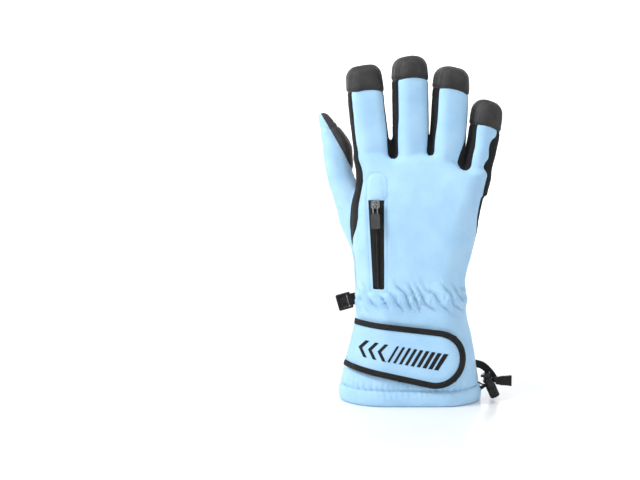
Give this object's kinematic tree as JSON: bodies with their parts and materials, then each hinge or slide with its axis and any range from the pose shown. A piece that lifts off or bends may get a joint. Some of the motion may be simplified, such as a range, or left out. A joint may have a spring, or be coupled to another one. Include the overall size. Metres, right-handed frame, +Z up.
{
  "type": "ski glove",
  "caption": "Insulated right-hand ski glove: softshell back, leather-look palm, zip pocket, cuff strap, wrist elastic, hem drawcord with lock and side clip; fingers and thumb bend.",
  "frame": {"origin": "on the floor, at the middle of the cuff's mouth", "axes": "+Z up along the fingers, -Y the back of the hand, +Y the palm, -X the thumb side, +X the little-finger side"},
  "size_m": [0.1536, 0.0749, 0.2731],
  "materials": {
    "softshell_blue": "matt woven softshell, light sky blue",
    "leather_black": "soft grained synthetic leather, low sheen",
    "fourchette_black": "matt black stretch fabric",
    "cap_black": "soft black synthetic leather",
    "insulation_white": "lofted polyester wadding",
    "lining_grey": "brushed fleece",
    "elastic_white": "woven elastic",
    "zip_tape_black": "woven zip tape",
    "zip_coil_black": "nylon coil",
    "slider_metal": "nickel-plated",
    "pull_grey": "moulded soft plastic",
    "pocket_fabric": "thin woven bag",
    "strap_blue": "laminated softshell strap",
    "binding_black": "folded grosgrain binding",
    "hook_black": "moulded hooks",
    "loop_black": "brushed loop",
    "cord_black": "braided elastic cord",
    "webbing_black": "woven tape",
    "lock_black": "moulded acetal",
    "spring_steel": "spring wire",
    "clip_black": "glossy moulded plastic"
  },
  "bodies": {
    "glove": {"back_panel": "softshell_blue", "cuff_insulation": "insulation_white", "cuff_panels": "softshell_blue", "digit_creases": "leather_black", "drawcord": "cord_black", "hand_gussets": "fourchette_black", "hand_insulation_back": "insulation_white", "hand_insulation_palm": "insulation_white", "hem_band": "softshell_blue", "keeper_tape": "webbing_black", "lining": "lining_grey", "loop_patch": "loop_black", "palm_panel": "leather_black", "pocket_bag": "pocket_fabric", "thumb_base_panel": "softshell_blue", "wrist_elastic": "elastic_white", "zip_coil": "zip_coil_black", "zip_garage": "softshell_blue", "zip_tapes": "zip_tape_black"},
    "index_finger": {"index_back": "softshell_blue", "index_fourchettes": "fourchette_black", "index_palm": "leather_black", "index_cap": "cap_black", "index_insulation": "insulation_white", "index_lining": "lining_grey"},
    "middle_finger": {"middle_back": "softshell_blue", "middle_fourchettes": "fourchette_black", "middle_palm": "leather_black", "middle_cap": "cap_black", "middle_insulation": "insulation_white", "middle_lining": "lining_grey"},
    "ring_finger": {"ring_back": "softshell_blue", "ring_fourchettes": "fourchette_black", "ring_palm": "leather_black", "ring_cap": "cap_black", "ring_insulation": "insulation_white", "ring_lining": "lining_grey"},
    "pinky_finger": {"pinky_back": "softshell_blue", "pinky_fourchettes": "fourchette_black", "pinky_palm": "leather_black", "pinky_cap": "cap_black", "pinky_insulation": "insulation_white", "pinky_lining": "lining_grey"},
    "thumb_tip": {"thumb_outer_panel": "softshell_blue", "thumb_inner_panel": "leather_black", "thumb_insulation": "insulation_white", "thumb_lining": "lining_grey"},
    "cuff_strap": {"strap": "strap_blue", "strap_binding": "binding_black", "hook_patch": "hook_black"},
    "slider": {"zip_slider": "slider_metal"},
    "zip_pull": {"pull_link": "slider_metal", "pull_tab": "pull_grey"},
    "cord_lock": {"lock_barrel": "lock_black", "lock_spring": "spring_steel"},
    "lock_button": {"lock_plunger": "lock_black"},
    "cord_end": {"cord_end_tab": "webbing_black"},
    "clip_loop": {"clip_tape": "webbing_black"},
    "clip": {"clip_frame": "clip_black"},
    "clip_latch": {"clip_tongue": "clip_black"}
  },
  "joints": [
    {"name": "index_bend", "type": "hinge", "parent": "glove", "child": "index_finger", "pos_m": [-0.03081, 0, 0.218], "axis": [-1, 0, 0], "range_deg": [0, 60], "stiffness_Nm_per_rad": 0.05, "deforming": ["digit_creases"]},
    {"name": "middle_bend", "type": "hinge", "parent": "glove", "child": "middle_finger", "pos_m": [-0.00035, 0, 0.219], "axis": [-1, 0, 0], "range_deg": [0, 60], "stiffness_Nm_per_rad": 0.05, "deforming": ["digit_creases"]},
    {"name": "ring_bend", "type": "hinge", "parent": "glove", "child": "ring_finger", "pos_m": [0.0289, 0, 0.2177], "axis": [-1, 0, 0], "range_deg": [0, 60], "stiffness_Nm_per_rad": 0.05, "deforming": ["digit_creases"]},
    {"name": "pinky_bend", "type": "hinge", "parent": "glove", "child": "pinky_finger", "pos_m": [0.05533, 0, 0.206], "axis": [-1, 0, 0], "range_deg": [0, 60], "stiffness_Nm_per_rad": 0.05, "deforming": ["digit_creases"]},
    {"name": "thumb_bend", "type": "hinge", "parent": "glove", "child": "thumb_tip", "pos_m": [-0.0545, 0.021, 0.177], "axis": [-0.6606, 0.7507, 0], "range_deg": [0, 35], "stiffness_Nm_per_rad": 0.05, "deforming": ["digit_creases"]},
    {"name": "strap_peel", "type": "hinge", "parent": "glove", "child": "cuff_strap", "pos_m": [-0.0476, -0.004, 0.047], "axis": [-0.2541, 0, -0.9672], "range_deg": [0, 95]},
    {"name": "zip_slide", "type": "slide", "parent": "glove", "child": "slider", "axis": [0.0293, -0.0393, -0.9988], "range_m": [0, 0.06]},
    {"name": "pull_flip", "type": "hinge", "parent": "slider", "child": "zip_pull", "pos_m": [-0.02937, -0.02572, 0.15745], "axis": [-0.9696, 0.2417, -0.0379], "range_deg": [0, 150]},
    {"name": "lock_swivel", "type": "hinge", "parent": "glove", "child": "cord_lock", "pos_m": [0.06366, -0.008, 0.01329], "axis": [0.9075, 0, 0.42], "range_deg": [-45, 45], "deforming": ["drawcord", "keeper_tape"]},
    {"name": "plunger_press", "type": "slide", "parent": "cord_lock", "child": "lock_button", "axis": [0.42, 0, -0.9075], "range_m": [0, 0.0025], "stiffness_N_per_m": 400, "deforming": ["lock_spring"]},
    {"name": "cord_pull", "type": "slide", "parent": "glove", "child": "cord_end", "axis": [0.9075, 0, 0.42], "range_m": [0, 0.01], "stiffness_N_per_m": 60, "deforming": ["drawcord", "keeper_tape"]},
    {"name": "clip_swing", "type": "hinge", "parent": "glove", "child": "clip_loop", "pos_m": [-0.0436, 0, 0.0808], "axis": [-0.2756, 0, 0.9613], "range_deg": [-40, 40]},
    {"name": "clip_turn", "type": "hinge", "parent": "clip_loop", "child": "clip", "pos_m": [-0.04754, 0, 0.07967], "axis": [-0.2756, 0, 0.9613], "range_deg": [-35, 35]},
    {"name": "latch_flex", "type": "hinge", "parent": "clip", "child": "clip_latch", "pos_m": [-0.0559, 0, 0.07727], "axis": [-0.2756, 0, 0.9613], "range_deg": [0, 12], "stiffness_Nm_per_rad": 0.02}
  ]
}
